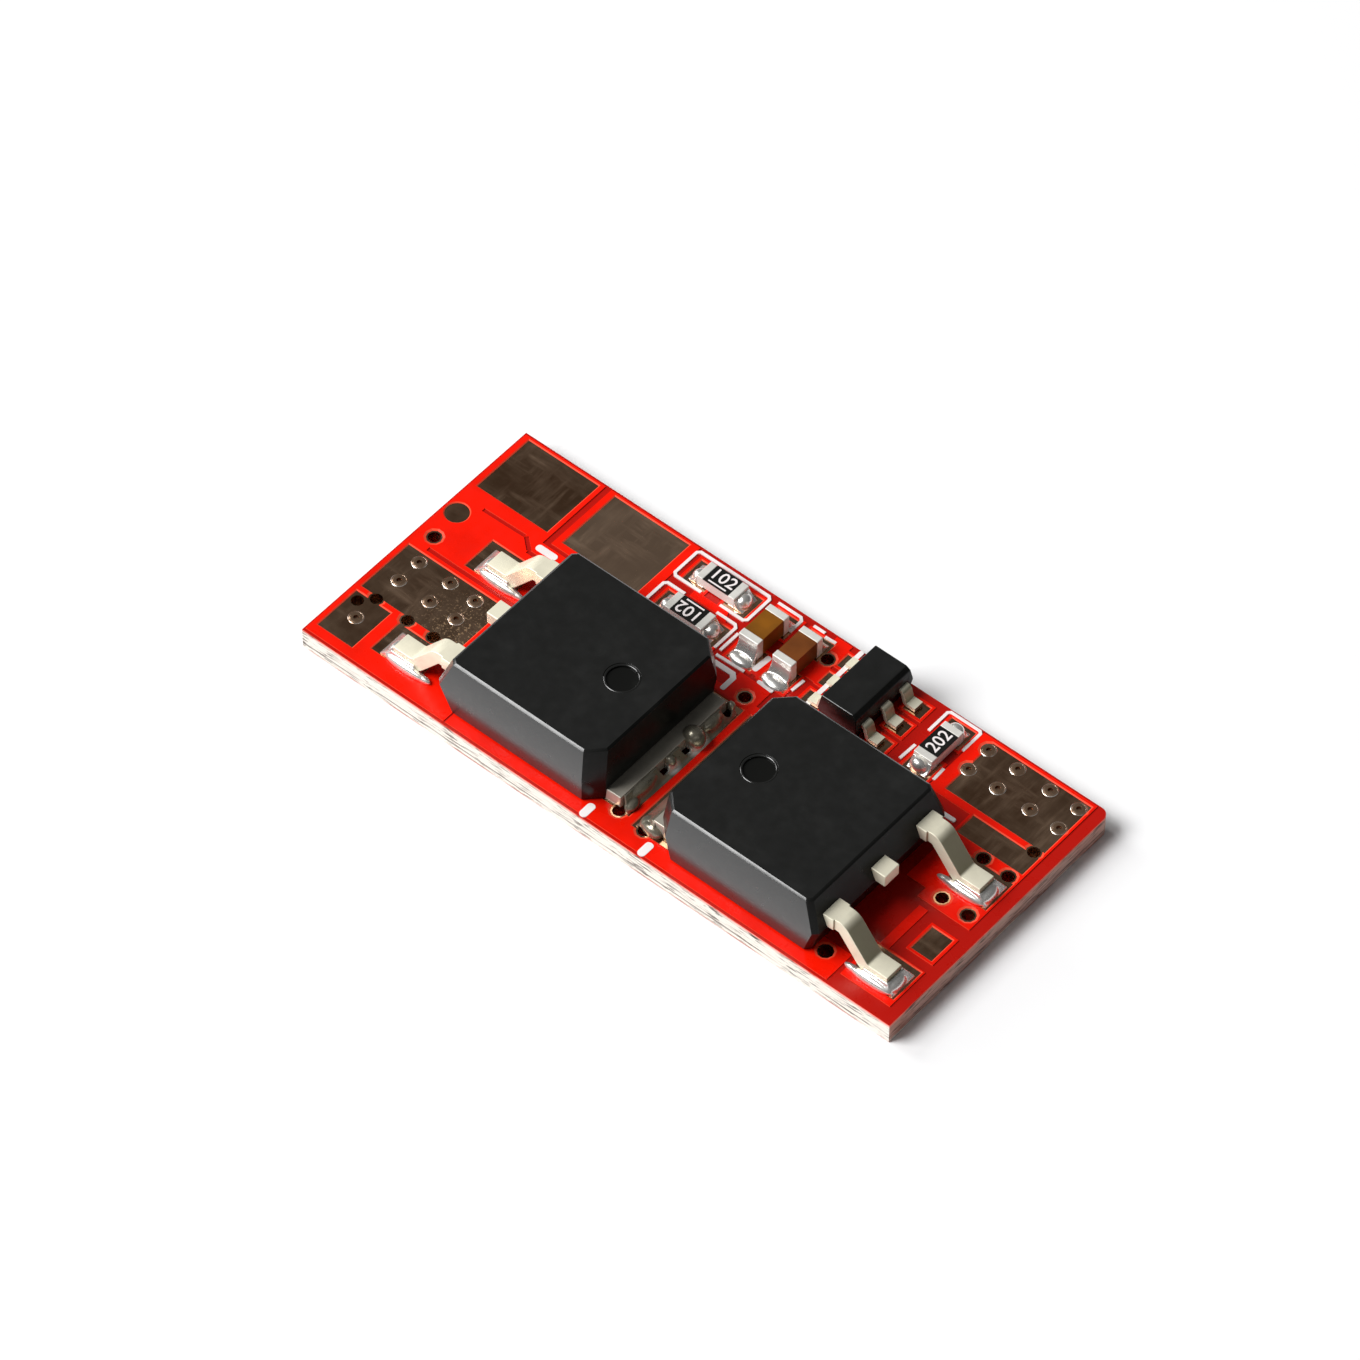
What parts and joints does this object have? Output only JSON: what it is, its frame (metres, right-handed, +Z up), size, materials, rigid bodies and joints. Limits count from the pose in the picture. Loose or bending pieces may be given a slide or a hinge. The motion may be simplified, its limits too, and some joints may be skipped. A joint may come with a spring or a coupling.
{
  "type": "battery protection board",
  "caption": "Small red circuit board that guards a battery cell, with two flat power transistors head to head, a small controller, chip resistors and capacitors, and tinned solder pads.",
  "frame": {"origin": "middle of the board's underside, which lies flat on the surface it rests on", "axes": "+X along the board towards the end with the eight-hole pad, +Y across it towards the edge with the two large plain pads, +Z up on the side with the components"},
  "size_m": [0.0244, 0.011, 0.0033],
  "materials": {
    "red_mask": "glossy red solder mask, darker where no copper lies under it",
    "glass_laminate": "cut edge of glass laminate, cream with fine fibre lines",
    "tinned_copper": "copper levelled with tin, mirror-like and slightly mottled",
    "solder": "bright reflowed solder",
    "lead_frame": "tin-plated copper lead frame, satin",
    "black_moulding": "moulded epoxy, fine matt grain",
    "resistor_overcoat": "dark glaze with plain printed numbers",
    "white_ceramic": "bare alumina",
    "tan_ceramic": "smooth tan ceramic",
    "brown_ceramic": "smooth brown ceramic",
    "chip_terminal": "tin-plated chip ends"
  },
  "bodies": {
    "root": {"capacitor_1_ceramic": "tan_ceramic", "capacitor_1_solder": "solder", "capacitor_1_terminals": "chip_terminal", "capacitor_2_ceramic": "brown_ceramic", "capacitor_2_solder": "solder", "capacitor_2_terminals": "chip_terminal", "controller_body": "black_moulding", "controller_lead_far_left": "lead_frame", "controller_lead_far_right": "lead_frame", "controller_lead_middle_left": "lead_frame", "controller_lead_middle_right": "lead_frame", "controller_lead_near_left": "lead_frame", "controller_lead_near_right": "lead_frame", "controller_solder": "solder", "copper_controller_link": "tinned_copper", "copper_drain": "tinned_copper", "copper_far_pad": "tinned_copper", "copper_left_end": "tinned_copper", "copper_right_end": "tinned_copper", "copper_right_gate": "tinned_copper", "copper_signal_islands": "tinned_copper", "copper_square_pad": "tinned_copper", "laminate": "glass_laminate", "left_gate_lead": "lead_frame", "left_gate_solder": "solder", "left_source_lead": "lead_frame", "left_source_solder": "solder", "left_tab_solder": "solder", "left_transistor_body": "black_moulding", "left_transistor_tab": "lead_frame", "resistor_1_ceramic": "white_ceramic", "resistor_1_overcoat": "resistor_overcoat", "resistor_1_solder": "solder", "resistor_1_terminals": "chip_terminal", "resistor_2_ceramic": "white_ceramic", "resistor_2_overcoat": "resistor_overcoat", "resistor_2_solder": "solder", "resistor_2_terminals": "chip_terminal", "resistor_3_ceramic": "white_ceramic", "resistor_3_overcoat": "resistor_overcoat", "resistor_3_solder": "solder", "resistor_3_terminals": "chip_terminal", "right_gate_lead": "lead_frame", "right_gate_solder": "solder", "right_source_lead": "lead_frame", "right_source_solder": "solder", "right_tab_solder": "solder", "right_transistor_body": "black_moulding", "right_transistor_tab": "lead_frame", "solder_mask_bottom": "red_mask", "solder_mask_top": "red_mask"}
  },
  "joints": []
}
